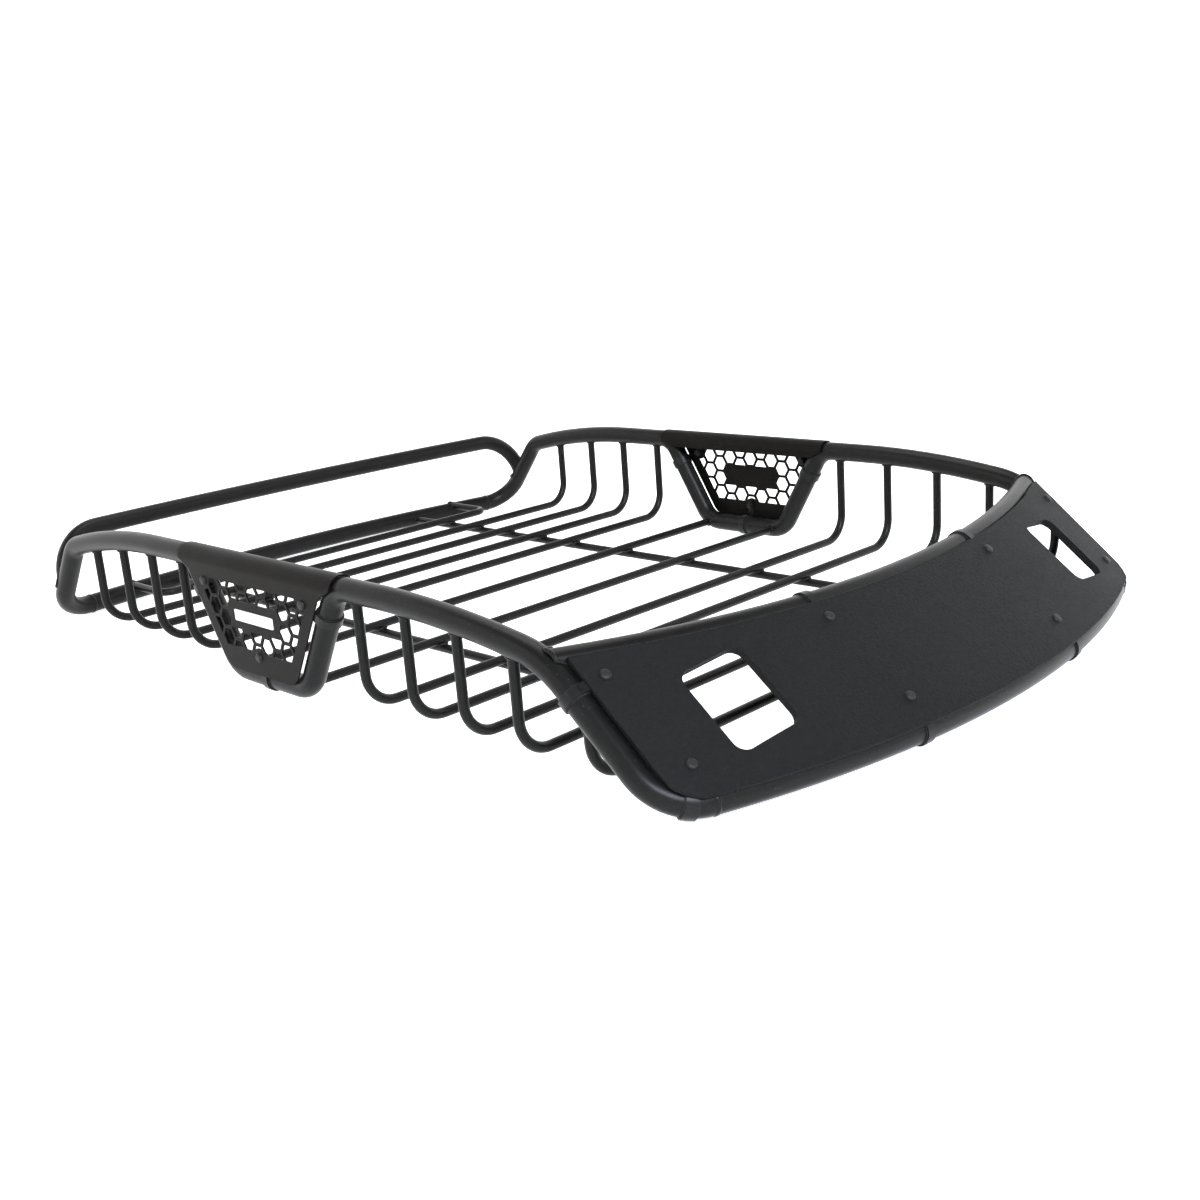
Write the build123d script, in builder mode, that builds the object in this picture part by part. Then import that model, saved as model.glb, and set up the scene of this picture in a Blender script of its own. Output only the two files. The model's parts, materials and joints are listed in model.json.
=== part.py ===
"""Open roof cargo basket: a bent-tube frame with welded ribs, two punched side
panels and a sloping front fairing.

Frame: +X is the left side, -Y the front, +Z up. The origin is midway along and
across the basket, on the ground plane that the lowest clamps touch.
"""
import math
import os

from build123d import *

# ---------------------------------------------------------------- main sizes
rail_spacing = 982.0        # between the centre lines of the two side rails
front_reach = 790.0         # middle of the side dips to the foremost point
rear_reach = 706.0          # middle of the side dips to the rearmost point
rail_rise = 145.0           # rail crest above the floor rods, centre to centre
floor_rise = 10.0           # floor rods above the lower end tubes, centre to centre

# ------------------------------------------------------------------- stock
tube_d = 30.0               # frame tube, outside
hoop_d = 28.0               # rear hoop tube, outside
tube_wall = 2.0
rod_d = 12.7                # ribs, floor rods and floor bars, solid
weld_sink = 0.8             # how far two crossing rods are pressed together
sheet_t = 2.0               # fairing and side panel sheet

# ---------------------------------------------------------------- side rails
dip_half = 83.0             # half the flat bottom of the side dip
dip_lean = 30.5             # dip legs from the vertical, degrees
dip_bend_r = 40.0
rear_crest = 405.0          # where the rear rail turns down, from the dip's middle
rear_shoulder = 545.0       # where it turns into the rear leg
rear_shoulder_drop = 32.5
rear_crest_r = 1100.0
rear_shoulder_r = 45.0
rear_bow = 48.0             # how far the rear lower tube bows rearwards
front_crest = 369.0
front_shoulder = 529.0
front_shoulder_drop = 25.5
front_crest_r = 1500.0
front_shoulder_r = 130.0
front_bow = 92.0            # how far the front lower tube bows forwards
corner_leg_rear = 56.0      # virtual corner to the butt weld, rear
corner_leg_front = 52.0
bend_lead = 2.0             # straight left between a bend and the next one

# ----------------------------------------------------------------- rear hoop
hoop_foot_rise = 47.0       # where the hoop meets the rear leg, above the floor rods
hoop_rise = 121.0           # hoop's top tube above the floor rods
hoop_setback = 62.0         # hoop's top corners in front of the rearmost corner
hoop_bow = 24.0
hoop_bend_r = 78.0

# ---------------------------------------------------------- front cross tube
cross_reach = 535.0         # ends, in front of the dip's middle
cross_rise = 116.0          # ends, above the floor rods
cross_bow = 92.0
cross_drop = 11.0           # how much lower its middle is than its ends

# ---------------------------------------------------------- ribs, rods, bars
rear_pitch = 87.5
front_pitch = 91.0
first_rear_rib = 206.0      # from the dip's middle
first_front_rib = 206.0
rear_ribs = 4
front_ribs = 4
last_front_rib = 586.0      # the rib under the fairing stands further on
rib_bend_r = 42.0
mid_rod_rear = 77.5
mid_rod_front = 63.0
end_rod_half = 352.0        # half the width between the end rod's two returns
end_rod_bend_r = 22.0
end_rod_gap = 6.0           # its ends stop short of the lower tube's centre line
bar_tail = 8.0              # floor bars beyond the last rib but one
bar_spacing = 526.0         # between the two lengthwise floor bars

# ------------------------------------------------------------------- clamps
liner_t = 1.0               # rubber between tube and band
band_t = 1.5
band_w = 12.0
liner_lip = 1.2             # liner showing at each side of the band
bolt_reach = 32.0           # tube centre line to bolt
tab_end = 9.0               # tab beyond the bolt
tab_corner_r = 5.0
panel_clamp_rise = 104.0    # upper panel clamps above the floor rods
fairing_clamp_x = 170.0     # clamps on the cross tube and the front lower tube
side_clamp_share = 0.15     # along the straight front leg, from its top
corner_clamp_share = 0.72   # along the front corner bend, from the leg

# ---------------------------------------------------------------- fasteners
bolt_d = 6.0
bolt_clearance = 0.3        # on the radius
head_d = 13.0               # low domed heads
head_h = 3.2
head_edge = 3.0
nut_af = 10.0
nut_h = 5.0
bolt_tail = 1.5

# -------------------------------------------------------------- side panels
panel_inset = 7.0           # sheet edge inside the dip tube's centre line
panel_flare_drop = 13.0     # where the sheet's edges start to flare, below the crest
roll_overhang = 10.0        # rolled top beyond the dip's upper corners
roll_sink = 2.3             # rolled top's centre below the rail's
roll_hook = 8.0             # rolled top's inner edge below the rail's centre line
panel_corner_r = 32.0
hex_pitch = 26.75           # between neighbouring hexagons, centre to centre
hex_af = 22.2
hex_rise = 76.0             # an off-centre column's hexagon above the floor rods
hex_margin = 17.0           # solid edge round the pattern, at the slanted sides
pattern_low = 38.5          # pattern's lower and upper limits above the floor rods
pattern_high = 126.0
field_w = 114.0             # solid field for the badge
field_h = 38.0
field_rise = 84.0
bolt_pad_r = 12.5
least_hole = 16.0           # smaller clipped holes are left out, square millimetres
badge_w = 90.0
badge_h = 15.0
badge_t = 0.8
badge_corner_r = 2.0

# ------------------------------------------------------------------ fairing
fairing_side_inset = 6.0    # sheet edge inside the side tube's centre line
fairing_low_lap = 4.0       # sheet past the lower tube's centre line
fairing_high_lap = -9.0     # the sheet stops short, so the cross tube shows above it
fairing_corner_r = 55.0
window_x = 350.0
window_w = 90.0
window_h = 106.0
window_r = 15.0
window_low = 41.0           # window's lower edge above the lower tube, along the slope
lip_depth = 8.0             # turned-in edge round each window
stations = 9                # sections across the fairing

# ------------------------------------------------------------ derived sizes
tube_r = tube_d / 2
hoop_r = hoop_d / 2
rod_r = rod_d / 2
half = rail_spacing / 2
liner_r = tube_r + liner_t
clamp_r = liner_r + band_t
dip_y = (front_reach - rear_reach) / 2
lower_z = clamp_r
floor_z = lower_z + floor_rise
rail_z = floor_z + rail_rise
bar_z = floor_z - rod_d + weld_sink
rear_corner_y = dip_y + rear_reach - tube_r - rear_bow
front_corner_y = dip_y - front_reach + tube_r + front_bow
dip_top = dip_half + rail_rise * math.tan(math.radians(dip_lean))


def path_of(points, radii):
    """A wire of straight runs joined by tangent arcs."""
    with BuildLine() as line:
        FilletPolyline(*points, radius=radii)
    return line.wire()


def round_section(path, radius, bore=0.0):
    """A round bar or tube carried along a path."""
    with BuildPart() as body:
        with BuildSketch(Plane(origin=path @ 0, z_dir=path % 0)):
            Circle(radius)
            if bore:
                Circle(bore, mode=Mode.SUBTRACT)
        sweep(path=path)
    return body.part


def save(part, name):
    """Label a finished piece and write it."""
    part.label = name
    export_step(part, f"parts/{name}.step")


def largest(part):
    """The biggest solid of a part, without the offcuts beyond a cope."""
    return part.solids().sort_by(SortBy.VOLUME)[-1]


# --------------------------------------------------------------- frame paths
def bow_angle(depth, leg):
    """Angle of a bowed tube's ends, for a bow of this depth and straight ends."""
    return 2 * math.atan(depth / (half + leg))


def bow_share(x, depth):
    """How much of a tube's bow is reached at x: 1 in the middle, 0 at the rails."""
    radius = (half**2 + depth**2) / (2 * depth)
    return (math.sqrt(radius**2 - x**2) - (radius - depth)) / depth


def rail_path(side, heading, crest, shoulder, drop, crest_r, shoulder_r, corner_y, leg, bow):
    """One side rail, from the dip's middle to the weld beyond its lower corner."""
    x = side * half
    angle = bow_angle(bow, leg)
    corner = Vector(x, corner_y, lower_z)
    along = Vector(-side * math.cos(angle), heading * math.sin(angle), 0)
    above = Vector(x, dip_y + heading * shoulder, rail_z - drop)
    turn = (corner - above).get_angle(along)
    corner_r = (leg - bend_lead) / math.tan(math.radians(turn / 2))
    points = [
        (x, dip_y, floor_z),
        (x, dip_y + heading * dip_half, floor_z),
        (x, dip_y + heading * dip_top, rail_z),
        (x, dip_y + heading * crest, rail_z),
        above,
        corner,
        corner + along * leg,
    ]
    return path_of(points, [dip_bend_r, dip_bend_r, crest_r, shoulder_r, corner_r])


def rear_rail_path(side):
    return rail_path(
        side, 1, rear_crest, rear_shoulder, rear_shoulder_drop, rear_crest_r,
        rear_shoulder_r, rear_corner_y, corner_leg_rear, rear_bow,
    )


def front_rail_path(side):
    return rail_path(
        side, -1, front_crest, front_shoulder, front_shoulder_drop, front_crest_r,
        front_shoulder_r, front_corner_y, corner_leg_front, front_bow,
    )


def lower_path(heading, corner_y, leg, bow):
    """A lower end tube, bowed away from the load, between the rails' welds."""
    angle = bow_angle(bow, leg)
    x = half - leg * math.cos(angle)
    y = corner_y + heading * leg * math.sin(angle)
    with BuildLine() as line:
        ThreePointArc((-x, y, lower_z), (0, corner_y + heading * bow, lower_z), (x, y, lower_z))
    return line.wire()


sides = {"left": 1, "right": -1}
# places of the floor rods from the dip's middle; the last rear one is the end rod
rear_rows = [first_rear_rib + number * rear_pitch for number in range(rear_ribs + 1)]
mid_rows = [mid_rod_rear, -mid_rod_front]
front_rows = [-first_front_rib - number * front_pitch for number in range(front_ribs)]
front_rows.append(-last_front_rib)
rear_rails = {name: rear_rail_path(side) for name, side in sides.items()}
front_rails = {name: front_rail_path(side) for name, side in sides.items()}
rear_lower = lower_path(1, rear_corner_y, corner_leg_rear, rear_bow)
front_lower = lower_path(-1, front_corner_y, corner_leg_front, front_bow)

cross_y = dip_y - cross_reach
cross_z = floor_z + cross_rise
with BuildLine() as cross_line:
    ThreePointArc(
        (-half, cross_y, cross_z),
        (0, cross_y - cross_bow, cross_z - cross_drop),
        (half, cross_y, cross_z),
    )
cross_path = cross_line.wire()

# the hoop's feet stand on the centre line of the rear legs
leg_run = rear_corner_y - (dip_y + rear_shoulder)
leg_fall = rail_z - rear_shoulder_drop - lower_z
hoop_foot_z = floor_z + hoop_foot_rise
hoop_foot_y = rear_corner_y - leg_run * (hoop_foot_z - lower_z) / leg_fall
hoop_y = dip_y + rear_reach - hoop_setback - hoop_bow
hoop_z = floor_z + hoop_rise
hoop_angle = bow_angle(hoop_bow, hoop_bend_r)
hoop_apex_y = hoop_y + half * math.tan(hoop_angle)
hoop_arc_r = (half / math.cos(hoop_angle) - hoop_bend_r - bend_lead) / math.tan(hoop_angle)
hoop_path = path_of(
    [
        (-half, hoop_foot_y, hoop_foot_z),
        (-half, hoop_y, hoop_z),
        (0, hoop_apex_y, hoop_z),
        (half, hoop_y, hoop_z),
        (half, hoop_foot_y, hoop_foot_z),
    ],
    [hoop_bend_r, hoop_arc_r, hoop_bend_r],
)

# solid cores of the frame tubes, used to cope what is welded to them
rear_cores = [round_section(path, tube_r) for path in rear_rails.values()]
front_cores = [round_section(path, tube_r) for path in front_rails.values()]
rear_lower_core = round_section(rear_lower, tube_r)


def coped(blank, cores):
    """A bar or tube cut back to the surface of the tubes it is welded to."""
    with BuildPart() as cut:
        add(blank)
        for core in cores:
            add(core, mode=Mode.SUBTRACT)
    return largest(cut.part)


def make_frame():
    """The four rails, the lower end tubes, the hoop and the cross tube."""
    bore = tube_r - tube_wall
    for name in sides:
        save(round_section(rear_rails[name], tube_r, bore), f"rail_rear_{name}")
        save(round_section(front_rails[name], tube_r, bore), f"rail_front_{name}")
    save(round_section(rear_lower, tube_r, bore), "rear_lower_tube")
    save(round_section(front_lower, tube_r, bore), "front_lower_tube")
    hoop = round_section(hoop_path, hoop_r, hoop_r - tube_wall)
    save(coped(hoop, rear_cores), "rear_hoop_tube")
    save(coped(round_section(cross_path, tube_r, bore), front_cores), "front_cross_tube")


def make_ribs():
    """U-shaped ribs whose legs stand under the rails."""
    for name, places, cores in (("rear", rear_rows[:-1], rear_cores), ("front", front_rows, front_cores)):
        for number, place in enumerate(places, start=1):
            y = dip_y + place
            points = [(-half, y, rail_z), (-half, y, floor_z), (half, y, floor_z), (half, y, rail_z)]
            blank = round_section(path_of(points, rib_bend_r), rod_r)
            save(coped(blank, cores), f"rib_{name}_{number}")


def make_floor():
    """Straight rods between the dips, the end rod and the two lengthwise bars."""
    for name, place in zip(("rear", "front"), mid_rows):
        y = dip_y + place
        with BuildLine() as line:
            Line((-half, y, floor_z), (half, y, floor_z))
        blank = round_section(line.wire(), rod_r)
        save(coped(blank, rear_cores + front_cores), f"floor_rod_{name}")

    end_y = dip_y + rear_rows[-1]
    back_y = rear_corner_y + rear_bow * bow_share(end_rod_half, rear_bow) - end_rod_gap
    points = [
        (-end_rod_half, back_y, floor_z),
        (-end_rod_half, end_y, floor_z),
        (end_rod_half, end_y, floor_z),
        (end_rod_half, back_y, floor_z),
    ]
    blank = round_section(path_of(points, end_rod_bend_r), rod_r)
    save(coped(blank, [rear_lower_core]), "rear_end_rod")

    crossed = rear_rows + mid_rows + front_rows[:-1]
    front_y = dip_y + crossed[-1] - bar_tail
    for name, side in sides.items():
        x = side * bar_spacing / 2
        with BuildLine() as line:
            Line((x, rear_corner_y + rear_bow, bar_z), (x, front_y, bar_z))
        with BuildPart() as bar:
            add(coped(round_section(line.wire(), rod_r), [rear_lower_core]))
            with Locations(*[(x, dip_y + row, floor_z) for row in crossed]):
                Cylinder(rod_r, 4 * rod_d, rotation=(0, 90, 0), mode=Mode.SUBTRACT)
        save(bar.part, f"floor_bar_{name}")


# ------------------------------------------------------------ clamps and bolts
class Seat:
    """A clamp's place: a stretch of tube, and the way to the bolt and out of the sheet."""

    def __init__(self, edge, share, inward, normal):
        self.edge = edge
        self.share = share
        bolt = edge @ share + inward * bolt_reach + normal * clamp_r
        self.set_bolt(bolt, inward, normal)

    def set_bolt(self, bolt, inward, normal):
        """Bolt centre on the sheet's inner face, with the tab's two directions."""
        self.bolt = Plane(origin=bolt, x_dir=inward, z_dir=normal)
        self.tab = Plane(origin=bolt - inward * bolt_reach, x_dir=inward, z_dir=normal)

    def around(self, width, radius, bore=0.0):
        """A ring or plug of this width on the tube, following its bend."""
        reach = width / 2 / self.edge.length
        short = self.edge.trim(self.share - reach, self.share + reach)
        return round_section(Wire([short]), radius, bore)


with BuildPart() as tab:
    with BuildSketch():
        Rectangle(bolt_reach + tab_end, band_w, align=(Align.MIN, Align.CENTER))
    extrude(amount=-2 * band_t)
    fillet(tab.edges().filter_by(Axis.Z).group_by(Axis.X)[-1], tab_corner_r)
    with Locations((bolt_reach, 0, 0)):
        Hole(bolt_d / 2 + bolt_clearance)

# bolt and nut are made on the sheet's inner face, with z out through the head
with BuildPart() as bolt:
    with BuildSketch(Plane.XY.offset(sheet_t)):
        Circle(head_d / 2)
    extrude(amount=head_h)
    fillet(bolt.edges().group_by(Axis.Z)[-1], head_edge)
    with BuildSketch(Plane.XY.offset(sheet_t)):
        Circle(bolt_d / 2)
    extrude(amount=-sheet_t - 2 * band_t - nut_h - bolt_tail)

with BuildPart() as nut:
    with BuildSketch(Plane.XY.offset(-2 * band_t)):
        RegularPolygon(nut_af / 2, 6, major_radius=False)
        Circle(bolt_d / 2, mode=Mode.SUBTRACT)
    extrude(amount=-nut_h)


def make_clamps(seats, name, sheet):
    """Bands with their tabs, rubber liners, bolts and nuts at a set of seats, fitted to a sheet."""
    with BuildPart() as bands:
        for seat in seats:
            add(seat.around(band_w, clamp_r, liner_r))
            add(coped(tab.part.moved(seat.tab.location), [seat.around(2 * band_w, liner_r)]))
        add(sheet, mode=Mode.SUBTRACT)
    save(bands.part, f"{name}_clamps")
    with BuildPart() as liners:
        for seat in seats:
            add(seat.around(band_w + 2 * liner_lip, liner_r, tube_r))
    save(liners.part, f"{name}_clamp_liners")
    with BuildPart() as bolts:
        with Locations(*[seat.bolt for seat in seats]):
            add(bolt.part)
        add(sheet, mode=Mode.SUBTRACT)
    save(bolts.part, f"{name}_bolts")
    with BuildPart() as nuts:
        with Locations(*[seat.bolt for seat in seats]):
            add(nut.part)
    save(nuts.part, f"{name}_nuts")


# -------------------------------------------------------------- side panels
lean = math.radians(dip_lean)


def panel_seats(name, side):
    """The three clamps that hold one side panel."""
    seats = []
    out = Vector(side, 0, 0)
    for way, path in ((1, rear_rails[name]), (-1, front_rails[name])):
        leg = path.edges()[2]
        foot = Vector(side * half, dip_y + way * dip_half, floor_z)
        rise = panel_clamp_rise / math.cos(lean)
        share = (rise - (leg @ 0 - foot).length) / leg.length
        seats.append(Seat(leg, share, Vector(0, -way * math.cos(lean), math.sin(lean)), out))
    with BuildLine() as bottom:
        Line((side * half, dip_y - dip_half, floor_z), (side * half, dip_y + dip_half, floor_z))
    seats.append(Seat(bottom.edge(), 0.5, Vector(0, 0, 1), out))
    return seats


def panel_edge(rise):
    """Half the panel's width at a height above the floor rods."""
    return dip_half + rise * math.tan(lean) - panel_inset / math.cos(lean)


def make_panel(name, side):
    """A sheet that fills the dip outside the tubes, rolled over at its top."""
    seats = panel_seats(name, side)
    inner = side * (half + clamp_r)
    low = floor_z + panel_inset
    flare_rise = rail_rise - panel_flare_drop
    roll_half = dip_top + roll_overhang
    top = rail_z + clamp_r + 2 * sheet_t
    roll_z = rail_z - roll_sink
    profile_plane = Plane(origin=(side * half, dip_y, roll_z), x_dir=(side, 0, 0), z_dir=(0, -side, 0))
    side_plane = Plane(origin=(0, dip_y, 0), x_dir=(0, 1, 0), z_dir=(1, 0, 0))
    hole_plane = Plane(origin=(inner, dip_y, 0), x_dir=(0, 1, 0), z_dir=(1, 0, 0))

    step_y = hex_pitch * math.cos(math.radians(30))
    columns = range(-5, 6)
    centres = []
    for column in columns:
        shift = 0 if column % 2 else hex_pitch / 2
        for row in range(-2, 3):
            centres.append((column * step_y, floor_z + hex_rise + shift + row * hex_pitch))
    bolts = [(seat.bolt.origin.Y - dip_y, seat.bolt.origin.Z) for seat in seats]
    edge_margin = hex_margin / math.cos(lean)
    border = [
        (-panel_edge(pattern_low) + edge_margin, floor_z + pattern_low),
        (panel_edge(pattern_low) - edge_margin, floor_z + pattern_low),
        (panel_edge(pattern_high) - edge_margin, floor_z + pattern_high),
        (-panel_edge(pattern_high) + edge_margin, floor_z + pattern_high),
    ]
    with BuildSketch(hole_plane) as pattern:
        with Locations(*centres):
            RegularPolygon(hex_af / 2, 6, major_radius=False, rotation=0)
        Polygon(*border, align=None, mode=Mode.INTERSECT)
        with Locations((0, floor_z + field_rise)):
            Rectangle(field_w, field_h, mode=Mode.SUBTRACT)
        with Locations(*bolts):
            Circle(bolt_pad_r, mode=Mode.SUBTRACT)
    holes = [face for face in pattern.sketch.faces() if face.area > least_hole]

    with BuildPart() as panel:
        with BuildSketch(profile_plane):
            Circle(clamp_r + sheet_t)
            Circle(clamp_r, mode=Mode.SUBTRACT)
            with Locations((0, -clamp_r)):
                Rectangle(2 * (clamp_r + sheet_t), 2 * clamp_r, mode=Mode.SUBTRACT)
            with Locations((clamp_r, 0)):
                Rectangle(sheet_t, roll_z - low, align=(Align.MIN, Align.MAX))
            with Locations((-clamp_r, 0)):
                Rectangle(sheet_t, roll_hook, align=(Align.MAX, Align.MAX))
        extrude(amount=roll_half, both=True)
        with BuildSketch(side_plane) as outline:
            with BuildLine():
                Polyline(
                    (-panel_edge(panel_inset), low),
                    (panel_edge(panel_inset), low),
                    (panel_edge(flare_rise), floor_z + flare_rise),
                    (roll_half, rail_z),
                    (roll_half, top),
                    (-roll_half, top),
                    (-roll_half, rail_z),
                    (-panel_edge(flare_rise), floor_z + flare_rise),
                    close=True,
                )
            make_face()
            fillet(outline.vertices().group_by(Axis.Y)[0], panel_corner_r)
        extrude(amount=2 * half, both=True, mode=Mode.INTERSECT)
        extrude(to_extrude=holes, amount=2 * sheet_t, dir=(side, 0, 0), mode=Mode.SUBTRACT)
        with BuildSketch(hole_plane):
            with Locations(*bolts):
                Circle(bolt_d / 2 + bolt_clearance)
        extrude(amount=2 * sheet_t, dir=(side, 0, 0), mode=Mode.SUBTRACT)
    save(panel.part, f"side_panel_{name}")

    outer = inner + side * sheet_t
    with BuildPart() as badge:
        field_centre = (outer, dip_y, floor_z + field_rise)
        with BuildSketch(Plane(origin=field_centre, x_dir=(0, 1, 0), z_dir=(1, 0, 0))):
            RectangleRounded(badge_w, badge_h, badge_corner_r)
        extrude(amount=side * badge_t)
    save(badge.part, f"badge_plate_{name}")

    make_clamps(seats, f"panel_{name}", panel.part)


# ------------------------------------------------------------------ fairing
def ends_at(x):
    """Centres of the front lower tube and the cross tube at x."""
    low = Vector(x, front_corner_y - front_bow * bow_share(x, front_bow), lower_z)
    share = bow_share(x, cross_bow)
    high = Vector(x, cross_y - cross_bow * share, cross_z - cross_drop * share)
    return low, high


def slope_at(x):
    """Lower tube centre at x, the way up the slope, its length, and the sheet's normal."""
    low, high = ends_at(x)
    up = (high - low).normalized()
    before, after = ends_at(x - 1), ends_at(x + 1)
    across = after[0] + after[1] - before[0] - before[1]
    return low, up, (high - low).length, across.cross(up).normalized()


def fairing_slab(near, far):
    """A slab over the tubes, between two distances from their centre lines."""
    edge = half - fairing_side_inset
    with BuildPart() as slab:
        for number in range(stations):
            x = -edge + 2 * edge * number / (stations - 1)
            low, up, length, normal = slope_at(x)
            outward = Vector(0, -up.Z, up.Y)
            outward = outward * (1 / outward.dot(normal))
            foot = low - up * fairing_low_lap
            head = low + up * (length + fairing_high_lap)
            corners = [foot + outward * near, head + outward * near]
            corners += [head + outward * far, foot + outward * far]
            with BuildSketch(Plane.YZ.offset(x)):
                Polygon(*[(corner.Y, corner.Z) for corner in corners], align=None)
        loft()
    return slab.part


def window_plane(side):
    """Plane at a window's centre, on the sheet, with z out of the fairing."""
    low, up, length, normal = slope_at(side * window_x)
    centre = low + up * (window_low + window_h / 2) + normal * clamp_r
    return Plane(origin=centre, x_dir=up.cross(normal), z_dir=normal)


def corner_offcut(side):
    """What is cut away to round one of the sheet's lower corners."""
    edge = side * (half - fairing_side_inset)
    low, up, length, normal = slope_at(edge)
    along = (ends_at(edge - side)[0] - low).normalized()
    corner = low - up * fairing_low_lap + normal * clamp_r
    run = fairing_corner_r / math.tan(math.radians(along.get_angle(up)) / 2)
    middle = corner + along * run + (up - along * up.dot(along)).normalized() * fairing_corner_r
    away = (corner - middle).normalized() * sheet_t
    outline = [corner + along * run + away, middle, corner + up * run + away, corner + away * 2]
    plane = Plane(origin=corner, x_dir=along, z_dir=normal)
    with BuildPart() as offcut:
        with BuildSketch(plane):
            Polygon(*[tuple(plane.to_local_coords(spot))[:2] for spot in outline], align=None)
            with Locations(plane.to_local_coords(middle)):
                Circle(fairing_corner_r, mode=Mode.SUBTRACT)
        extrude(amount=3 * sheet_t, both=True)
    return offcut.part


def fairing_seat(edge, share, guess):
    """A clamp on a tube, with its tab flat against the sheet's inner face."""
    spot = edge @ share
    tangent = edge % share
    normal = slope_at(spot.X)[3]
    inward = normal.cross(tangent).normalized()
    if inward.dot(guess) < 0:
        inward = inward * -1
    seat = Seat(edge, share, inward, normal)
    reach = spot + inward * bolt_reach
    low, up, length, normal = slope_at(reach.X)
    bolt = low + up * (reach - low).dot(up) + normal * clamp_r
    inward = (inward - normal * inward.dot(normal)).normalized()
    seat.set_bolt(bolt, inward, normal)
    return seat


def fairing_seats():
    """Clamps on the lower tube, the cross tube, the front legs and the corners."""
    lower, upper = [], []
    for name, side in sides.items():
        up = slope_at(side * fairing_clamp_x)[1]
        centre = Vector(-side, 0, 0)
        for tube, way, group in ((front_lower, up, lower), (cross_path, up * -1, upper)):
            edge = tube.edges()[0]
            share = edge.param_at_point(edge.position_at(0.5)) + side * fairing_clamp_x / edge.length
            group.append(fairing_seat(edge, share, way))
        edges = front_rails[name].edges()
        upper.append(fairing_seat(edges[-3], side_clamp_share, centre))
        lower.append(fairing_seat(edges[-2], corner_clamp_share, centre + up))
    return lower, upper


def make_fairing():
    """The bowed sheet with two lamp windows, and the clamps that carry it."""
    lower, upper = fairing_seats()
    with BuildPart() as lips:
        for side in (-1, 1):
            with BuildSketch(window_plane(side)):
                RectangleRounded(window_w + 2 * sheet_t, window_h + 2 * sheet_t, window_r + sheet_t)
            extrude(amount=2 * lip_depth, both=True)
        add(fairing_slab(clamp_r - lip_depth, clamp_r + sheet_t), mode=Mode.INTERSECT)
    with BuildPart() as fairing:
        add(fairing_slab(clamp_r, clamp_r + sheet_t))
        for side in (-1, 1):
            add(corner_offcut(side), mode=Mode.SUBTRACT)
        add(lips.part)
        for side in (-1, 1):
            with BuildSketch(window_plane(side)):
                RectangleRounded(window_w, window_h, window_r)
            extrude(amount=2 * lip_depth, both=True, mode=Mode.SUBTRACT)
        for seat in lower + upper:
            with BuildSketch(seat.bolt):
                Circle(bolt_d / 2 + bolt_clearance)
            extrude(amount=3 * sheet_t, both=True, mode=Mode.SUBTRACT)
    save(fairing.part, "fairing")
    make_clamps(lower, "fairing_lower", fairing.part)
    make_clamps(upper, "fairing_upper", fairing.part)


os.makedirs("parts", exist_ok=True)
make_frame()
make_ribs()
make_floor()
for side_name, side_sign in sides.items():
    make_panel(side_name, side_sign)
make_fairing()
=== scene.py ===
"""Looks of the open roof cargo basket: powder-coated tubes, welds, punched side
panels, clamps and the textured front fairing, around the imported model.

Metres, +X left, -Y front (the fairing), +Z up, ground at z = 0.
"""

import json
import math

import bpy
import numpy as np
from mathutils import Matrix, Vector


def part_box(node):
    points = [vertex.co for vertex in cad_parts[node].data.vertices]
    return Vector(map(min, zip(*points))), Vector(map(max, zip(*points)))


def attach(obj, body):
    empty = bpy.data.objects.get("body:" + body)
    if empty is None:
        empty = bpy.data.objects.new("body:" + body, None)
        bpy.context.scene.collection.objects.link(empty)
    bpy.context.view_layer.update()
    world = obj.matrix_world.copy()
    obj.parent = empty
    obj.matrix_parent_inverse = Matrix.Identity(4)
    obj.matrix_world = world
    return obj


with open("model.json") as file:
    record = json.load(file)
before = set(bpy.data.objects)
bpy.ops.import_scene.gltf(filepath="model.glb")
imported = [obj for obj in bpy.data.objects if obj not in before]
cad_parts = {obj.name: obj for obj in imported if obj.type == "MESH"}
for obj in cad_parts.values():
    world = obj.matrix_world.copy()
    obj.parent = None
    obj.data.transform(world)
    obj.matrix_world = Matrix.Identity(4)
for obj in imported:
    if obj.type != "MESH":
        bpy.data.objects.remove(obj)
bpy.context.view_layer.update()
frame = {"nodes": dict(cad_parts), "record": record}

# ------------------------------------------------------------------ sizes
HALF = 0.491                    # side rails' centre lines from the middle
DIP_Y = 0.042                   # middle of the side dips
LOWER_Z = 0.0175                # centre of the lower end tubes
FLOOR_Z = 0.0275                # centre of the floor rods
RAIL_Z = 0.1725                 # crest of the side rails
BAR_Z = 0.0156                  # centre of the lengthwise floor bars
BAR_X = 0.263
TUBE_R = 0.015
HOOP_R = 0.014
ROD_R = 0.00635
REAR_BOW, FRONT_BOW = 0.048, 0.092
REAR_CORNER_Y, FRONT_CORNER_Y = 0.685, -0.641
REAR_LEG, FRONT_LEG = 0.056, 0.052
RIB_Y = [DIP_Y + v for v in (0.206, 0.2935, 0.381, 0.4685)]
RIB_Y += [DIP_Y - v for v in (0.206, 0.297, 0.388, 0.479, 0.586)]
MID_Y = [DIP_Y + 0.0775, DIP_Y - 0.063]
END_ROD_Y = DIP_Y + 0.556
END_ROD_X = 0.352
CROSS_END = (-0.493, 0.1435)    # y and z of the cross tube's ends
CROSS_BOW, CROSS_DROP = 0.092, 0.011
CLAMP_R = 0.0175               # tube centre line to the sheet
SHEET = 0.002
SHEET_EDGE = HALF - 0.006
SHEET_LOW, SHEET_HIGH = 0.004, -0.009
SHEET_CORNER_R = 0.055
LIP_HALF_WIDTH, LIP_HALF_DEPTH = 0.0015, 0.0031
LIP_SIDE_DEPTH = 0.0034         # added to its half depth at the fairing's sides
LIP_SIDE_FROM = 0.36            # where the lip starts to deepen
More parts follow.
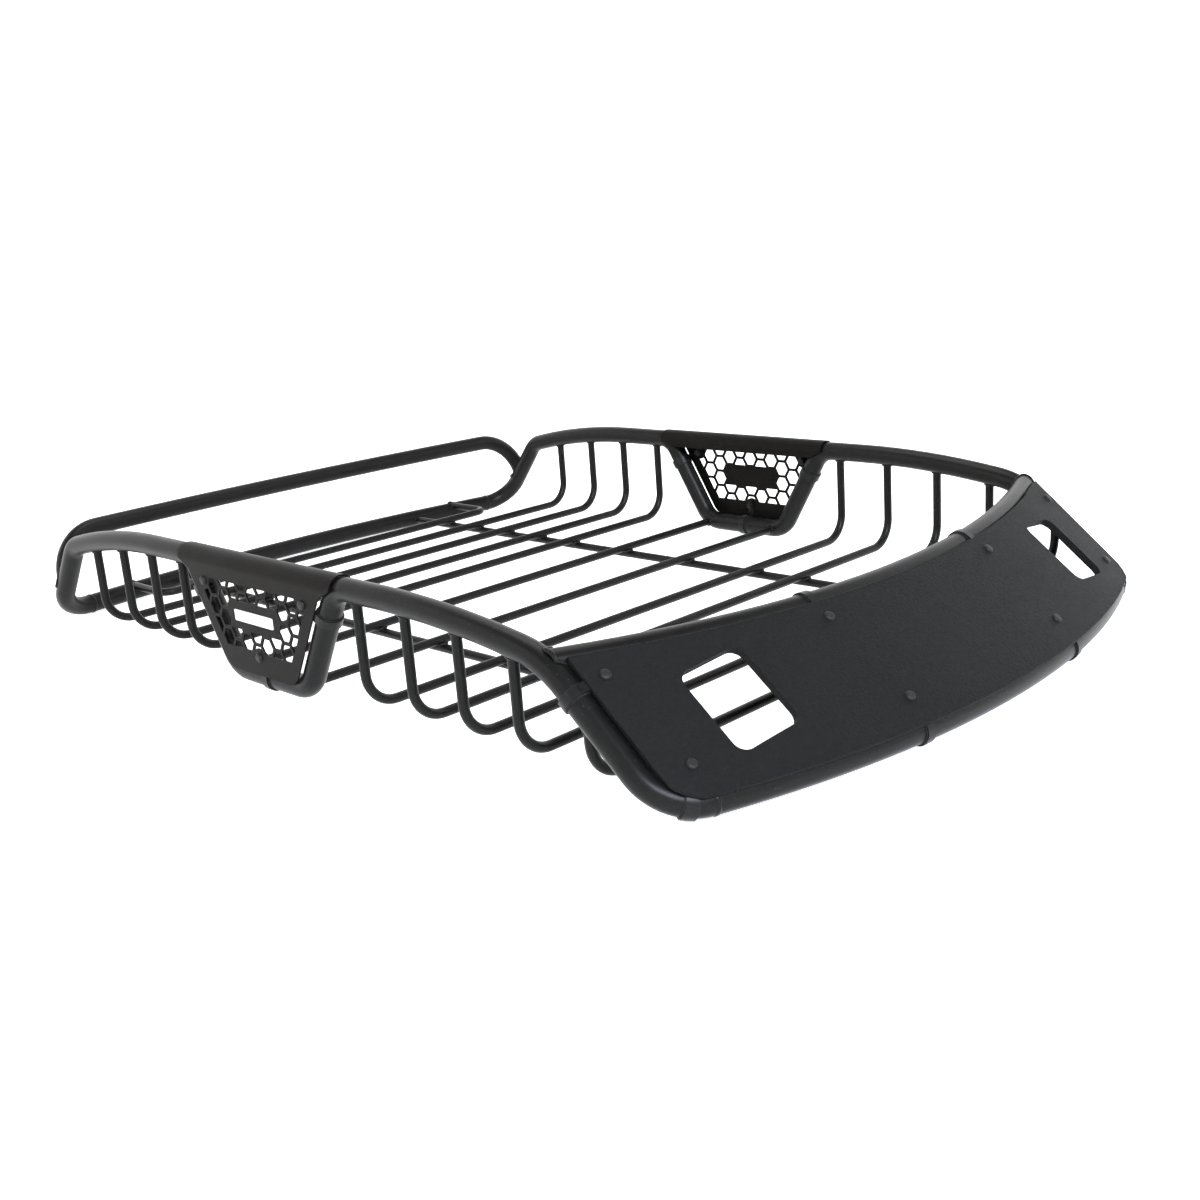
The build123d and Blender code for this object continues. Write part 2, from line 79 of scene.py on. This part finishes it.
LIP_INSET, LIP_PROUD = 0.0006, 0.0003
ROD_BEAD, TUBE_BEAD = 0.0021, 0.0026
CROSS_COPE = 0.0006             # the cross tube's weld follows its radius less this
WELD_LEAD = 0.06                # where a weld's line starts, back from the tube
HOOP_LEAD = 0.04                # and below the hoop's top for the hoop's feet


# ------------------------------------------------------------ shader maths
class Signal:
    """A number that varies over a surface. The operators add Math nodes."""

    def __init__(self, finish, socket):
        self.finish = finish
        self.socket = socket

    def maths(self, operation, first, second=None):
        values = {0: first}
        if second is not None:
            values[1] = second
        return self.finish.node("ShaderNodeMath", values, operation=operation)

    def __add__(self, other):
        return self.maths("ADD", self, other)

    def __sub__(self, other):
        return self.maths("SUBTRACT", self, other)

    def __rsub__(self, other):
        return self.maths("SUBTRACT", other, self)

    def __mul__(self, other):
        return self.maths("MULTIPLY", self, other)

    def __truediv__(self, other):
        return self.maths("DIVIDE", self, other)

    def __gt__(self, other):
        return self.maths("GREATER_THAN", self, other)

    def __lt__(self, other):
        return self.maths("LESS_THAN", self, other)

    __radd__ = __add__
    __rmul__ = __mul__

    def size(self):
        return self.maths("ABSOLUTE", self)

    def ramp(self, low, high):
        """0 below low, 1 above high, smooth between."""
        return self.finish.node(
            "ShaderNodeMapRange", {"Value": self, "From Min": low, "From Max": high},
            interpolation_type="SMOOTHSTEP",
        )


class Finish:
    """One material. node() adds any node, sets it up, then feeds its sockets."""

    def __init__(self, name):
        self.material = bpy.data.materials.new(name)
        self.material.use_nodes = True
        self.tree = self.material.node_tree
        self.shader = self.tree.nodes["Principled BSDF"]
        self.place = self.node("ShaderNodeTexCoord", out="Object")

    def node(self, kind, values=None, out=0, **settings):
        made = self.tree.nodes.new(kind)
        for key, value in settings.items():
            setattr(made, key, value)
        for key, value in (values or {}).items():
            self.feed(made.inputs[key], value)
        return Signal(self, made.outputs[out])

    def feed(self, socket, value):
        if isinstance(value, Signal):
            self.tree.links.new(value.socket, socket)
        else:
            socket.default_value = value

    def noise(self, scale, detail=3.0, rough=0.55, stretch=None):
        place = self.place
        if stretch:
            place = self.node("ShaderNodeMapping", {"Vector": place, "Scale": stretch})
        values = {"Vector": place, "Scale": scale, "Detail": detail, "Roughness": rough}
        return self.node("ShaderNodeTexNoise", values)

    def cells(self, scale, place=None, feature="F1", smooth=0.6):
        values = {"Vector": place or self.place, "Scale": scale}
        if feature == "SMOOTH_F1":
            values["Smoothness"] = smooth
        return self.node("ShaderNodeTexVoronoi", values, feature=feature)

    def mix(self, share, first, second):
        """Colours mixed by share, from first at 0 to second at 1."""
        values = {0: share, 6: first, 7: second}
        return self.node("ShaderNodeMix", values, out=2, data_type="RGBA")

    def bump(self, height, strength, depth, below=None):
        values = {"Height": height, "Strength": strength, "Distance": depth}
        if below:
            values["Normal"] = below
        return self.node("ShaderNodeBump", values)

    def set(self, **sockets):
        names = {"colour": "Base Color", "rough": "Roughness", "metal": "Metallic",
                 "normal": "Normal", "gloss": "Specular IOR Level", "coat": "Coat Weight",
                 "coat_rough": "Coat Roughness"}
        for key, value in sockets.items():
            self.feed(self.shader.inputs[names[key]], value)
        return self.material


def grey(tone, warm=0.0):
    """A grey colour, warmer above 0 and cooler below."""
    return (tone * (1 + warm), tone, tone * (1 - warm), 1.0)


def powder_coat(name, tone, warm, grain_scale, grain_depth, rough, gloss):
    """Fine-textured powder coat: orange peel, tiny pits, faint cloudy patches and
    rubbed places where the coat is a little smoother and paler."""
    coat = Finish(name)
    cloud = coat.noise(7.0, 4.0, 0.6)
    peel = coat.noise(grain_scale * 0.35, 2.0, 0.5)
    grain = coat.noise(grain_scale, 3.0, 0.6)
    pits = coat.cells(grain_scale * 0.8).ramp(0.05, 0.32)
    rubs = coat.noise(26.0, 6.0, 0.72, stretch=(1.0, 0.35, 1.4)).ramp(0.60, 0.78)
    dust = coat.noise(grain_scale * 0.55, 1.0, 0.4).ramp(0.70, 0.80)
    shade = cloud * 0.55 + grain * 0.35 + rubs * 0.25
    base = coat.mix(shade, grey(tone * 0.62, warm), grey(tone * 1.5, warm))
    colour = coat.mix(dust * 0.18, base, grey(0.16, 0.02))
    height = peel * 0.5 + grain * 0.35 + pits * 0.3
    return coat.set(
        colour=colour,
        rough=rough + (cloud - 0.5) * 0.16 + (grain - 0.5) * 0.12 - rubs * 0.07,
        normal=coat.bump(height, 0.55, grain_depth),
        gloss=gloss,
    )


def hide_coat(name):
    """Coarse pebbled coat of the fairing: smooth cells pushed about by noise, small
    grains on them, and long faint handling marks."""
    coat = Finish(name)
    push = coat.node(
        "ShaderNodeTexNoise", {"Vector": coat.place, "Scale": 190.0, "Detail": 2.0}, out="Color"
    )
    swayed = coat.node(
        "ShaderNodeMix", {0: 0.004, 4: coat.place, 5: push}, out=1, data_type="VECTOR"
    )
    pebbles = coat.cells(300.0, swayed, "SMOOTH_F1", 0.5)
    small = coat.cells(820.0, swayed)
    grain = coat.noise(1500.0, 2.0)
    cloud = coat.noise(4.5, 4.0, 0.6)
    marks = coat.noise(14.0, 7.0, 0.75, stretch=(0.5, 1.6, 1.6)).ramp(0.58, 0.76)
    # (1 - pebbles) paints the gaps between the pebbles darker and their tops lighter: painted shade in
    # the grooves
    shade = cloud * 0.6 + (1 - pebbles) * 0.25 + marks * 0.2 + grain * 0.12
    base = coat.mix(shade, grey(0.0042, -0.03), grey(0.0095, -0.06))
    dust = coat.noise(900.0, 1.0, 0.4).ramp(0.68, 0.80)
    height = pebbles * -0.7 + small * -0.3 + grain * 0.15
    wave = coat.bump(coat.noise(11.0, 2.0, 0.4), 0.35, 0.0020)
    return coat.set(
        colour=coat.mix(dust * 0.10, base, grey(0.14)),
        rough=0.50 + (cloud - 0.5) * 0.18 + pebbles * 0.10 - marks * 0.06,
        normal=coat.bump(height, 0.50, 0.0011, wave),
        gloss=0.075,
    )


def liner_rubber(name):
    """Matt moulded rubber with a fine bloom."""
    rubber = Finish(name)
    bloom = rubber.noise(60.0, 5.0, 0.7)
    grain = rubber.noise(1800.0, 2.0)
    return rubber.set(
        colour=rubber.mix(bloom.ramp(0.35, 0.8), grey(0.009), grey(0.020, 0.03)),
        rough=0.72 + bloom * 0.16,
        normal=rubber.bump(grain, 0.35, 0.00015),
        gloss=0.30,
    )


def black_zinc(name):
    """Fastener plating: dark, half glossy, with rubbed bright specks and fine turning marks."""
    zinc = Finish(name)
    rubbed = zinc.noise(320.0, 4.0, 0.7).ramp(0.56, 0.72)
    fine = zinc.noise(2400.0, 2.0, 0.5, stretch=(1.0, 0.2, 1.0))
    return zinc.set(
        colour=zinc.mix(rubbed * 0.5, grey(0.008), grey(0.045, 0.02)),
        metal=0.06 + rubbed * 0.25,
        rough=0.40 + fine * 0.14 - rubbed * 0.06,
        normal=zinc.bump(fine, 0.25, 0.0001),
        gloss=0.25,
    )


def blank_plate(name):
    """Blank off-white plate with a thin grey line set in from its edge."""
    plate = Finish(name)
    parts = plate.node("ShaderNodeSeparateXYZ", {"Vector": plate.place}, out="Y")
    rise = plate.node("ShaderNodeSeparateXYZ", {"Vector": plate.place}, out="Z")
    low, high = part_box("badge_plate_right")
    middle = (low + high) / 2
    wide = (parts - middle.y).size() / ((high.y - low.y) / 2)
    tall = (rise - middle.z).size() / ((high.z - low.z) / 2)
    line = (wide > 0.93) * (wide < 0.96) * (tall < 0.78)
    rule = (tall > 0.70) * (tall < 0.78) * (wide < 0.96)
    ink = line.maths("MAXIMUM", line, rule)
    film = plate.noise(90.0, 4.0)
    return plate.set(
        colour=plate.mix(ink, plate.mix(film, grey(0.66, 0.01), grey(0.80)), grey(0.10)),
        rough=0.30 + film * 0.18,
        normal=plate.bump(plate.noise(700.0, 2.0), 0.15, 0.0002),
        gloss=0.5,
    )


finishes = {
    "frame": powder_coat("frame_powder_coat", 0.0045, 0.02, 900.0, 0.00024, 0.32, 0.13),
    "fairing_sheet": hide_coat("fairing_pebble_coat"),
    "panel_sheet": powder_coat("panel_powder_coat", 0.0040, 0.14, 1300.0, 0.00020, 0.38, 0.05),
    "clamp_band": powder_coat("clamp_band_coat", 0.0050, 0.0, 1500.0, 0.00018, 0.30, 0.17),
    "clamp_liner": liner_rubber("clamp_liner_rubber"),
    "fastener": black_zinc("fastener_black_zinc"),
    "badge": blank_plate("badge_blank_plate"),
}
slots = {part["node"]: part["material_slot"] for part in frame["record"]["subparts"]}
for name, node in frame["nodes"].items():
    node.data.materials.clear()
    node.data.materials.append(finishes[slots[name]])


# ------------------------------------------------------------------- lines
def bent_line(points, radii, step=0.002):
    """A polyline whose corners are rounded by tangent arcs, as points a step apart."""
    points = [np.array(p, float) for p in points]
    run = [points[0][None]]
    for before, corner, after, radius in zip(points, points[1:], points[2:], radii):
        a = (before - corner) / np.linalg.norm(before - corner)
        b = (after - corner) / np.linalg.norm(after - corner)
        half_angle = math.acos(float(np.clip(a @ b, -1, 1))) / 2
        reach = radius / math.tan(half_angle)
        middle = corner + (a + b) / np.linalg.norm(a + b) * radius / math.sin(half_angle)
        start, end = corner + a * reach - middle, corner + b * reach - middle
        turn = math.pi - 2 * half_angle
        t = np.linspace(0, 1, max(3, int(turn * radius / step)))[:, None]
        arc = (np.sin((1 - t) * turn) * start + np.sin(t * turn) * end) / math.sin(turn)
        run.append(middle + arc)
    run.append(points[-1][None])
    line = np.concatenate(run)
    gaps = np.linalg.norm(np.diff(line, axis=0), axis=1)
    along = np.concatenate([[0], np.cumsum(gaps)])
    spots = np.linspace(0, along[-1], int(along[-1] / step))
    return np.stack([np.interp(spots, along, line[:, k]) for k in range(3)], 1)


def bow_share(x, depth):
    """How much of a bowed tube's depth it has at x, from 0 at its ends to 1."""
    radius = (HALF**2 + depth**2) / (2 * depth)
    return (np.sqrt(radius**2 - x**2) - (radius - depth)) / depth


def side_rail(heading, crest, shoulder, drop, crest_r, shoulder_r, corner_y, leg, bow):
    """Centre line of a left side rail from the dip's middle to its end weld."""
    angle = 2 * math.atan(bow / (HALF + leg))
    corner = np.array([HALF, corner_y, LOWER_Z])
    along = np.array([-math.cos(angle), heading * math.sin(angle), 0])
    above = np.array([HALF, DIP_Y + heading * shoulder, RAIL_Z - drop])
    up = (above - corner) / np.linalg.norm(above - corner)
    turn = math.pi - math.acos(float(up @ along))
    corner_r = (leg - 0.002) / math.tan(turn / 2)
    dip_top = 0.083 + 0.145 * math.tan(math.radians(30.5))
    points = [
        (HALF, DIP_Y, FLOOR_Z),
        (HALF, DIP_Y + heading * 0.083, FLOOR_Z),
        (HALF, DIP_Y + heading * dip_top, RAIL_Z),
        (HALF, DIP_Y + heading * crest, RAIL_Z),
        above,
        corner,
        corner + along * leg,
    ]
    return bent_line(points, [0.040, 0.040, crest_r, shoulder_r, corner_r])


REAR_RAIL = side_rail(1, 0.405, 0.545, 0.0325, 1.1, 0.045, REAR_CORNER_Y, REAR_LEG, REAR_BOW)
FRONT_RAIL = side_rail(-1, 0.369, 0.529, 0.0255, 1.5, 0.130, FRONT_CORNER_Y, FRONT_LEG, FRONT_BOW)


def rail_at(y):
    """The left rail's centre and its direction at y, on the part above the floor."""
    line = REAR_RAIL if y > DIP_Y else FRONT_RAIL
    line = line[line[:, 2] > FLOOR_Z + 0.03]
    nearest = int(np.argmin(np.abs(line[:, 1] - y)))
    nearest = min(max(nearest, 1), len(line) - 2)
    way = line[nearest + 1] - line[nearest - 1]
    spot = line[nearest] + way * (y - line[nearest, 1]) / way[1]
    return spot, way / np.linalg.norm(way)


def lower_end(heading, x):
    """Centre and direction of the front (-1) or rear (1) lower tube at x."""
    bow, corner_y = (REAR_BOW, REAR_CORNER_Y) if heading > 0 else (FRONT_BOW, FRONT_CORNER_Y)
    y = corner_y + heading * bow * bow_share(x, bow)
    slope = corner_y + heading * bow * bow_share(x + 1e-4, bow) - y
    way = np.array([1e-4, slope, 0])
    return np.array([x, y, LOWER_Z]), way / np.linalg.norm(way)


# ------------------------------------------------------------------ meshes
def surface(points, closed=True):
    """Vertices and quads of a grid of points. Its rows are joined last to first, and
    so are its columns unless closed is False."""
    rows, columns = points.shape[:2]
    index = np.arange(rows * columns).reshape(rows, columns)
    a, b = index, np.roll(index, -1, 0)
    c, d = np.roll(a, -1, 1), np.roll(b, -1, 1)
    if not closed:
        a, b, c, d = (corner[:, :-1] for corner in (a, b, c, d))
    quads = np.stack([a.ravel(), b.ravel(), d.ravel(), c.ravel()], 1)
    return points.reshape(-1, 3), quads


def piece(name, grids, slot):
    """One smooth object from several (vertices, quads) pairs, riding on the basket."""
    start, all_points, all_quads = 0, [], []
    for points, quads in grids:
        all_points.append(points)
        all_quads.append(quads + start)
        start += len(points)
    points, quads = np.concatenate(all_points), np.concatenate(all_quads)
    mesh = bpy.data.meshes.new(name)
    mesh.from_pydata(points.tolist(), [], quads.tolist())
    mesh.update()
    mesh.polygons.foreach_set("use_smooth", np.ones(len(quads), bool))
    made = bpy.data.objects.new(name, mesh)
    bpy.context.scene.collection.objects.link(made)
    mesh.materials.append(finishes[slot])
    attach(made, "root")
    return made


def across(way, hint=(0.0, 0.0, 1.0)):
    """Two unit directions square to way and to each other."""
    side = np.cross(way, hint)
    if np.linalg.norm(side) < 1e-3:
        side = np.cross(way, (1.0, 0.0, 0.0))
    side = side / np.linalg.norm(side)
    return side, np.cross(way, side)


def ripple(turn, count, phase):
    """Uneven scale-like steps of a weld bead: a leaning wave with a slow drift."""
    wave = turn * count + phase
    return 0.65 * np.abs(np.sin(wave / 2)) + 0.35 * np.sin(turn * 3 + phase * 1.7)


def weld_ring(centre, rod_way, rod_r, tube_spot, tube_way, tube_r, bead=ROD_BEAD, phase=0.0):
    """Bead round a rod where it meets a tube: a rippled circle carried along the
    saddle line where the rod's cylinder cuts the tube's cylinder."""
    rod_way = np.array(rod_way, float) / np.linalg.norm(rod_way)
    tube_way = np.array(tube_way, float) / np.linalg.norm(tube_way)
    first, second = across(rod_way, tube_way)
    turn = np.linspace(0, 2 * math.pi, 56, endpoint=False)[:, None]
    ring = rod_r * (np.cos(turn) * first + np.sin(turn) * second)
    offset = np.array(centre, float) - tube_spot + ring
    flat = offset - (offset @ tube_way)[:, None] * tube_way
    drive = rod_way - (rod_way @ tube_way) * tube_way
    dot = flat @ drive
    size = drive @ drive
    inside = np.maximum(dot**2 - size * ((flat**2).sum(1) - tube_r**2), 0.0)
    reach = (-dot - np.sqrt(inside)) / size
    line = np.array(centre, float) + ring + reach[:, None] * rod_way
    out = ring / rod_r
    along = np.roll(line, -1, 0) - np.roll(line, 1, 0)
    along /= np.linalg.norm(along, axis=1)[:, None]
    off_tube = line - tube_spot
    off_tube -= (off_tube @ tube_way)[:, None] * tube_way
    off_tube /= np.linalg.norm(off_tube, axis=1)[:, None]
    middle = out + off_tube
    middle -= (middle * along).sum(1)[:, None] * along
    middle /= np.maximum(np.linalg.norm(middle, axis=1), 1e-6)[:, None]
    side = np.cross(along, middle)
    radius = bead * (1 + 0.16 * ripple(turn[:, 0], 26, phase))
    around = np.linspace(0, 2 * math.pi, 10, endpoint=False)
    points = line[:, None] + radius[:, None, None] * (
        np.cos(around)[None, :, None] * middle[:, None] + np.sin(around)[None, :, None] * side[:, None]
    )
    return surface(points)


def butt_bead(centre, way, tube_r, phase=0.0):
    """Low bead round a tube at a butt weld: a flattened circle carried round it."""
    first, second = across(way)
    turn = np.linspace(0, 2 * math.pi, 96, endpoint=False)
    ring = np.cos(turn)[:, None] * first + np.sin(turn)[:, None] * second
    around = np.linspace(0, 2 * math.pi, 10, endpoint=False)
    height = 0.0011 * (1 + 0.22 * ripple(turn, 40, phase))
    rise = tube_r - 0.0003 + height[:, None] * np.sin(around)[None]
    run = 0.0030 * np.cos(around)[None] * (1 + 0.12 * np.sin(turn * 5 + phase))[:, None]
    points = np.array(centre)[None, None] + rise[..., None] * ring[:, None] + run[..., None] * way
    return surface(points)


def crossing_bead(x, y, phase):
    """Lumpy pool of weld where a floor bar passes under a rod: an ellipsoid whose
    radius swells and dips with the two angles."""
    turn = np.linspace(0, 2 * math.pi, 20, endpoint=False)[:, None]
    lift = np.linspace(0.02, math.pi - 0.02, 12)[None]
    lump = 1 + 0.10 * np.sin(2 * turn + phase) * np.sin(lift)
    lump = lump + 0.06 * np.sin(5 * turn + 2 * phase + lift)
    points = np.stack([
        x + 0.0086 * lump * np.sin(lift) * np.cos(turn),
        y + 0.0082 * lump * np.sin(lift) * np.sin(turn),
        (FLOOR_Z + BAR_Z) / 2 + 0.0040 * lump * np.cos(lift) + 0 * turn,
    ], -1)
    return surface(points, closed=False)


# ------------------------------------------------------------------ fairing
def cross_tube(x):
    """Centre of the front cross tube at x."""
    share = float(bow_share(x, CROSS_BOW))
    return np.array([x, CROSS_END[0] - CROSS_BOW * share, CROSS_END[1] - CROSS_DROP * share])


def slope_at(x):
    """Lower tube centre at x, the way up the fairing, its length, the sheet's normal."""
    low, high = lower_end(-1, x)[0], cross_tube(x)
    after = lower_end(-1, x + 1e-3)[0] + cross_tube(x + 1e-3)
    up = (high - low) / np.linalg.norm(high - low)
    normal = np.cross(after - low - high, up)
    return low, up, float(np.linalg.norm(high - low)), normal / np.linalg.norm(normal)


def on_sheet(x, rise):
    """A point of the fairing's inner face, rise up the slope from the lower tube."""
    low, up, _, normal = slope_at(x)
    outward = np.array([0, -up[2], up[1]])
    return low + up * rise + outward * CLAMP_R / float(outward @ normal)


def laid_on_sheet(point):
    """The point moved onto the fairing's inner face, no further out than its edge."""
    x = float(np.clip(point[0], -SHEET_EDGE, SHEET_EDGE))
    low, up = slope_at(x)[:2]
    return on_sheet(x, float((point - low) @ up))


def fairing_rim():
    """The fairing's outline: bowed lower edge, round lower corners, straight sides
    and bowed upper edge, with the sheet's normal at each point."""
    length = slope_at(SHEET_EDGE)[2]
    reach = SHEET_EDGE - 0.085
    lower = [on_sheet(x, -SHEET_LOW) for x in np.linspace(-reach, reach, 60)]
    right_corner = on_sheet(SHEET_EDGE, -SHEET_LOW)
    right_side = [lower[-1], right_corner, on_sheet(SHEET_EDGE, length + SHEET_HIGH)]
    left_side = [point * np.array([-1, 1, 1]) for point in right_side[::-1]]
    spread = np.linspace(SHEET_EDGE, -SHEET_EDGE, 90)
    upper = [on_sheet(x, slope_at(x)[2] + SHEET_HIGH) for x in spread]
    line = np.concatenate([
        lower, bent_line(right_side, [SHEET_CORNER_R], 0.003)[1:],
        upper[1:-1], bent_line(left_side, [SHEET_CORNER_R], 0.003)[:-1],
    ])
    line = np.array([laid_on_sheet(point) for point in line])
    normals = np.array([slope_at(float(x))[3] for x in line[:, 0]])
    return line, normals


def edge_lip():
    """Folded edge of the fairing: a rounded oblong carried round the outline. It
    stands a little proud of the sheet and reaches down towards the tubes, deeper at
    the two sides, and its width wavers slightly along the edge."""
    line, normals = fairing_rim()
    along = np.roll(line, -1, 0) - np.roll(line, 1, 0)
    along /= np.linalg.norm(along, axis=1)[:, None]
    outward = np.cross(normals, along) * -1
    outward *= np.sign((outward * (line - line.mean(0))).sum(1))[:, None]
    turn = np.linspace(0, 2 * math.pi, 16, endpoint=False)
    wide = np.sign(np.cos(turn)) * np.abs(np.cos(turn)) ** 0.75 * LIP_HALF_WIDTH
    tall = np.sign(np.sin(turn)) * np.abs(np.sin(turn)) ** 0.75
    count = np.arange(len(line))
    waver = 1 + 0.04 * np.sin(count * 0.37) + 0.03 * np.sin(count * 1.31)
    share = (np.abs(line[:, 0]) - LIP_SIDE_FROM) / (SHEET_EDGE - LIP_SIDE_FROM)
    share = np.clip(share, 0, 1)[:, None]
    half = LIP_HALF_DEPTH + LIP_SIDE_DEPTH * share * share * (3 - 2 * share)
    middle = line - outward * LIP_INSET - normals * (half - SHEET - LIP_PROUD)
    points = middle[:, None] + waver[:, None, None] * wide[None, :, None] * outward[:, None]
    points = points + (half * tall)[..., None] * normals[:, None]
    return surface(points)


# ------------------------------------------------------------------- welds
def rib_welds(side):
    """Beads where the ribs' ends and the two middle rods meet one side's rails."""
    mirror, beads = np.array([side, 1, 1]), []
    for number, y in enumerate(RIB_Y):
        spot, way = rail_at(y)
        foot = np.array([side * HALF, y, FLOOR_Z])
        phase = number * 1.3 + side
        beads.append(
            weld_ring(foot, (0, 0, 1), ROD_R, spot * mirror, way * mirror, TUBE_R, phase=phase)
        )
    for number, y in enumerate(MID_Y):
        end = np.array([side * HALF, y, FLOOR_Z])
        start = end - np.array([side * WELD_LEAD, 0, 0])
        phase = number + side
        beads.append(
            weld_ring(start, (side, 0, 0), ROD_R, end, (0, 1, 0), TUBE_R, phase=phase)
        )
    return beads


def lower_tube_weld(x, z, phase):
    """Bead where a lengthwise rod at x and z meets the rear lower tube."""
    spot, way = lower_end(1, x)
    start = np.array([x, spot[1] - WELD_LEAD, z])
    return weld_ring(start, (0, 1, 0), ROD_R, spot, way, TUBE_R, phase=phase)


def end_welds(side):
    """One side's beads at the lower tubes, the hoop's foot and the cross tube's end."""
    mirror = np.array([side, 1, 1])
    beads = [lower_tube_weld(side * BAR_X, BAR_Z, 1.0 + side)]
    for line in (REAR_RAIL, FRONT_RAIL):
        way = (line[-1] - line[-3]) * mirror
        beads.append(butt_bead(line[-1] * mirror, way / np.linalg.norm(way), TUBE_R, side * 2.0))
    beads.append(lower_tube_weld(side * END_ROD_X, FLOOR_Z, side))

    low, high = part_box("rear_hoop_tube")
    spot, way = rail_at(low.y + HOOP_R)
    start = np.array([side * HALF, low.y + HOOP_R, high.z - HOOP_LEAD])
    beads.append(
        weld_ring(start, (0, 0, -1), HOOP_R, spot * mirror, way * mirror, TUBE_R, TUBE_BEAD, side)
    )

    spot, way = rail_at(CROSS_END[0])
    inner = cross_tube(HALF - WELD_LEAD) * mirror
    outer = cross_tube(HALF) * mirror
    beads.append(
        weld_ring(
            inner, outer - inner, TUBE_R - CROSS_COPE, spot * mirror, way * mirror,
            TUBE_R, TUBE_BEAD, side,
        )
    )
    return beads


def floor_welds(side):
    """Pools of weld where one lengthwise bar passes under the floor rods."""
    rows = RIB_Y[:-1] + MID_Y + [END_ROD_Y]
    return [crossing_bead(side * BAR_X, y, number * 1.9 + side) for number, y in enumerate(rows)]


piece("fairing_edge_lip", [edge_lip()], "fairing_sheet")
piece("rib_welds", rib_welds(1) + rib_welds(-1), "frame")
piece("floor_crossing_welds", floor_welds(1) + floor_welds(-1), "frame")
piece("tube_end_welds", end_welds(1) + end_welds(-1), "frame")


# ------------------------------------------------------------------- stage
def studio_sweep():
    """Floor and wall in one: a disc whose rim curls up into a tall wall all round.
    Radius and height follow a straight floor, a quarter circle and a straight wall."""
    bend = np.linspace(0, math.pi / 2, 16)
    flat, curl, top = 9.0, 4.0, 12.0
    radius = np.concatenate([[0.0004, 3.0, 6.0], flat + curl * np.sin(bend), [flat + curl]])
    height = np.concatenate([[0, 0, 0], curl * (1 - np.cos(bend)), [top]])
    turn = np.linspace(0, 2 * math.pi, 96, endpoint=False)[:, None]
    grid = np.stack([radius * np.cos(turn), radius * np.sin(turn), height + 0 * turn], -1)
    points, quads = surface(grid, closed=False)
    mesh = bpy.data.meshes.new("studio_sweep")
    mesh.from_pydata(points.tolist(), [], quads.tolist())
    mesh.polygons.foreach_set("use_smooth", np.ones(len(quads), bool))
    return mesh


floor = bpy.data.objects.new("studio_sweep", studio_sweep())
bpy.context.scene.collection.objects.link(floor)
paper = Finish("studio_paper")
paper.set(colour=paper.mix(paper.noise(3.0, 3.0), grey(0.86), grey(0.88)), rough=0.9, gloss=0.0)
paper.shader.inputs["Emission Color"].default_value = (1.0, 1.0, 1.0, 1.0)
paper.shader.inputs["Emission Strength"].default_value = 0.70
floor.data.materials.append(paper.material)

world = bpy.data.worlds.new("studio")
world.use_nodes = True
world.node_tree.nodes["Background"].inputs["Color"].default_value = (1.0, 1.0, 1.0, 1.0)
world.node_tree.nodes["Background"].inputs["Strength"].default_value = 0.35
bpy.context.scene.world = world
bpy.context.scene.view_settings.view_transform = "Standard"


def softbox(name, spot, aim, width, height, watts, colour):
    """A rectangular light facing a point."""
    light = bpy.data.lights.new(name, "AREA")
    light.shape, light.size, light.size_y = "RECTANGLE", width, height
    light.energy, light.color = watts, colour
    lamp = bpy.data.objects.new(name, light)
    bpy.context.scene.collection.objects.link(lamp)
    lamp.location = spot
    lamp.rotation_euler = (Vector(aim) - Vector(spot)).to_track_quat("-Z", "Y").to_euler()


softbox("top_softbox", (0.3, 0.4, 2.4), (0, 0, 0), 1.8, 1.6, 34.0, (1.0, 0.97, 0.92))
softbox("front_softbox", (-1.2, -3.0, 2.2), (0, -0.4, 0.1), 1.6, 0.9, 165.0, (0.80, 0.88, 1.0))
softbox("side_softbox", (-3.2, 0.8, 1.7), (-0.3, 0.1, 0.1), 1.2, 0.8, 8.0, (1.0, 0.90, 0.74))

# ------------------------------------------------------------------ camera
yaw, pitch, roll = (math.radians(a) for a in (-44.286, 15.268, -4.282))
back = Vector((math.sin(yaw) * math.cos(pitch), -math.cos(yaw) * math.cos(pitch), math.sin(pitch)))
level = Vector((math.cos(yaw), math.sin(yaw), 0))
upright = back.cross(level)
right = level * math.cos(roll) + upright * math.sin(roll)
over = upright * math.cos(roll) - level * math.sin(roll)
camera = bpy.data.objects.new("camera", bpy.data.cameras.new("camera"))
camera.data.sensor_width = 36.0
camera.data.lens = 40.848
camera.data.shift_x, camera.data.shift_y = 0.00223, -0.00663
camera.matrix_world = Matrix((
    (right.x, over.x, back.x, -1.3694),
    (right.y, over.y, back.y, -1.4707),
    (right.z, over.z, back.z, 0.5728),
    (0, 0, 0, 1),
))
bpy.context.scene.collection.objects.link(camera)
bpy.context.scene.camera = camera
